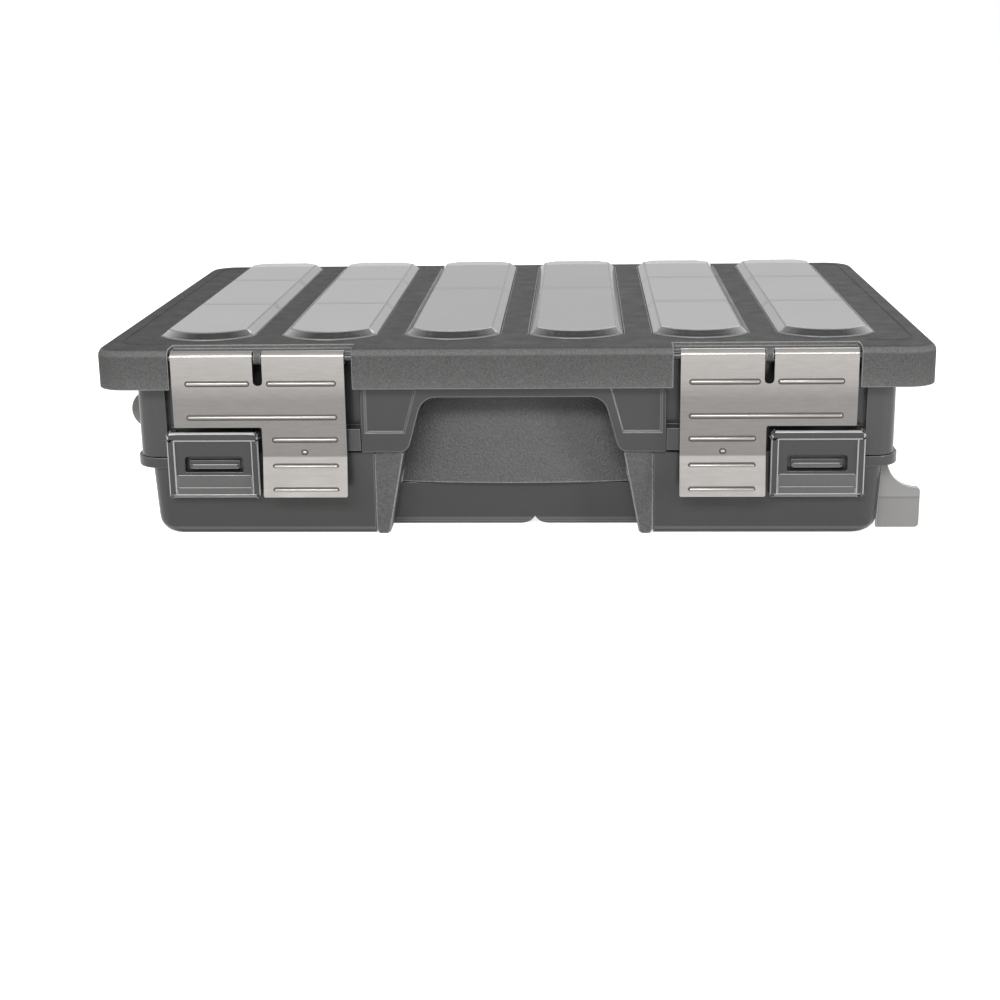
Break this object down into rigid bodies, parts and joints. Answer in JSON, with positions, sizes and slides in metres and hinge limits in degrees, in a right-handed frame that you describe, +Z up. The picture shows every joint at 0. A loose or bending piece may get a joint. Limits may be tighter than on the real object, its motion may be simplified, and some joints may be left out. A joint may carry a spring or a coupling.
{
  "type": "two-deck fishing tackle case",
  "caption": "Flat two-deck tackle case: compartmented tub and hinged tray, lid with raised clear windows, silver lid latches, smoke deck latches and a recessed hand grip.",
  "frame": {"origin": "centre of the case on the floor, under the middle of its overall box", "axes": "+X right as seen from the latch side, +Y towards the hinges, +Z up with the case lying flat"},
  "size_m": [0.349, 0.258, 0.0844],
  "materials": {
    "lid_smoke": "fine spark-eroded texture, dark smoke grey",
    "window_clear": "polished, light smoke, see-through",
    "tray_smoke": "smooth moulded, smoke grey",
    "frame_smoke": "smooth moulded, smoke grey, slightly see-through",
    "tub_smoke": "smooth moulded, dark smoke grey",
    "grip_texture": "coarse leather-like grain",
    "divider_smoke": "smooth thin plate",
    "tab_clear": "thin light smoke plate",
    "latch_silver": "warm satin silver",
    "deck_latch_smoke": "glossy smoke with bright edges",
    "pin_steel": "drawn wire"
  },
  "bodies": {
    "tub": {"tub_shell": "tub_smoke", "grip": "grip_texture", "tub_wall_1": "divider_smoke", "tub_wall_2": "divider_smoke", "tub_wall_3": "divider_smoke", "tub_divider_1": "divider_smoke", "tub_divider_2": "divider_smoke", "tub_divider_3": "divider_smoke", "tub_divider_4": "divider_smoke", "side_tab": "tab_clear"},
    "tray": {"tray_shell": "tray_smoke", "tray_floor": "tray_smoke", "handle_frame": "frame_smoke", "tray_wall_1": "divider_smoke", "tray_wall_2": "divider_smoke", "tray_wall_3": "divider_smoke", "tray_wall_4": "divider_smoke", "tray_wall_5": "divider_smoke", "tray_divider_1": "divider_smoke", "tray_divider_2": "divider_smoke", "tray_divider_3": "divider_smoke", "tray_divider_4": "divider_smoke", "tray_divider_5": "divider_smoke", "tray_divider_6": "divider_smoke", "tray_divider_7": "divider_smoke", "tray_divider_8": "divider_smoke", "tray_divider_9": "divider_smoke", "tray_divider_10": "divider_smoke", "side_lug": "tab_clear", "tray_hinge_pin_left": "pin_steel", "tray_hinge_pin_right": "pin_steel", "clasp_pin_left": "pin_steel", "clasp_pin_right": "pin_steel"},
    "lid": {"lid_shell": "lid_smoke", "window_1": "window_clear", "window_2": "window_clear", "window_3": "window_clear", "window_4": "window_clear", "window_5": "window_clear", "window_6": "window_clear", "lid_hinge_pin_left": "pin_steel", "lid_hinge_pin_right": "pin_steel", "latch_bar_left": "deck_latch_smoke", "latch_bar_right": "deck_latch_smoke"},
    "latch_left": {"lid_latch_left": "latch_silver"},
    "latch_right": {"lid_latch_right": "latch_silver"},
    "clasp_left": {"deck_latch_left": "deck_latch_smoke"},
    "clasp_right": {"deck_latch_right": "deck_latch_smoke"}
  },
  "joints": [
    {"name": "tray_hinge", "type": "hinge", "parent": "tub", "child": "tray", "pos_m": [0, 0.1255, 0.03405], "axis": [-1, 0, 0], "range_deg": [0, 105]},
    {"name": "lid_hinge", "type": "hinge", "parent": "tray", "child": "lid", "pos_m": [0, 0.1255, 0.0674], "axis": [-1, 0, 0], "range_deg": [0, 110]},
    {"name": "latch_left_hinge", "type": "hinge", "parent": "lid", "child": "latch_left", "pos_m": [-0.1053, -0.123, 0.0776], "axis": [-1, 0, 0], "range_deg": [0, 150]},
    {"name": "latch_right_hinge", "type": "hinge", "parent": "lid", "child": "latch_right", "pos_m": [0.1053, -0.123, 0.0776], "axis": [-1, 0, 0], "range_deg": [0, 150]},
    {"name": "clasp_left_hinge", "type": "hinge", "parent": "tray", "child": "clasp_left", "pos_m": [-0.1265, -0.1186, 0.0436], "axis": [-1, 0, 0], "range_deg": [0, 80]},
    {"name": "clasp_right_hinge", "type": "hinge", "parent": "tray", "child": "clasp_right", "pos_m": [0.1265, -0.1186, 0.0436], "axis": [-1, 0, 0], "range_deg": [0, 80]}
  ]
}
